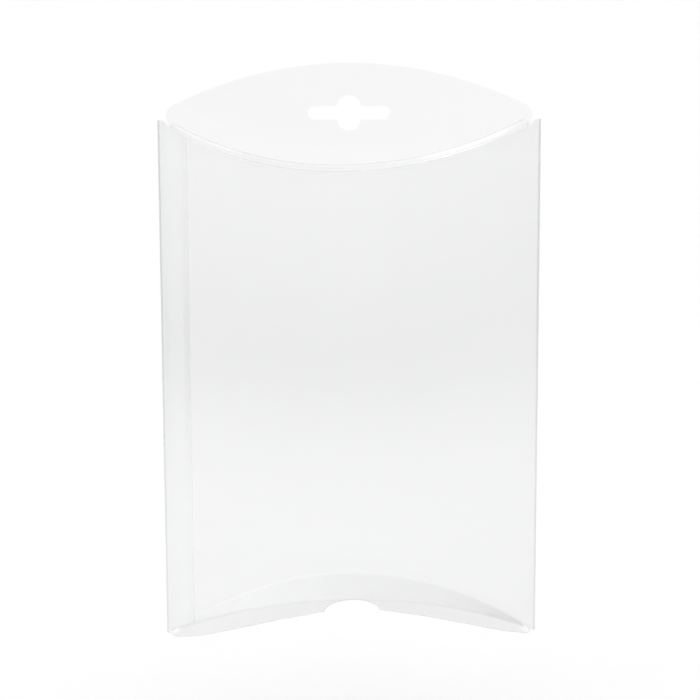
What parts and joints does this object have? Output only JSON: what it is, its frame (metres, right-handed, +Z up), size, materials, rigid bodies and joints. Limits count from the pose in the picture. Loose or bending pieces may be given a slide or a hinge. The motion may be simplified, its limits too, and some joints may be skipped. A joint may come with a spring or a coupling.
{
  "type": "pillow box",
  "caption": "Clear plastic pillow box with bowed panels, curved end creases, a folding flap at each end, a thumb notch and an upright hang tab with a euro slot",
  "frame": {"origin": "Middle of the hang slot, halfway through the sheet of the hang tab, where the box hangs on a peg.", "axes": "+Z up along the box's height, X across its width, the front panel faces -Y and the hang tab is on the back panel, towards +Y."},
  "size_m": [0.1398, 0.0384, 0.2135],
  "materials": {
    "clear_sheet": "clear glossy plastic sheet, see-through"
  },
  "bodies": {
    "sleeve": {"sleeve": "clear_sheet"},
    "top_flap": {"top_flap": "clear_sheet"},
    "bottom_flap": {"bottom_flap": "clear_sheet"}
  },
  "joints": [
    {"name": "top_flap_hinge", "type": "hinge", "parent": "sleeve", "child": "top_flap", "pos_m": [0, -0.03535, -0.02035], "axis": [1, 0, 0], "range_deg": [0, 90]},
    {"name": "bottom_flap_hinge", "type": "hinge", "parent": "sleeve", "child": "bottom_flap", "pos_m": [0, 0.00015, -0.17775], "axis": [1, 0, 0], "range_deg": [0, 90]}
  ]
}
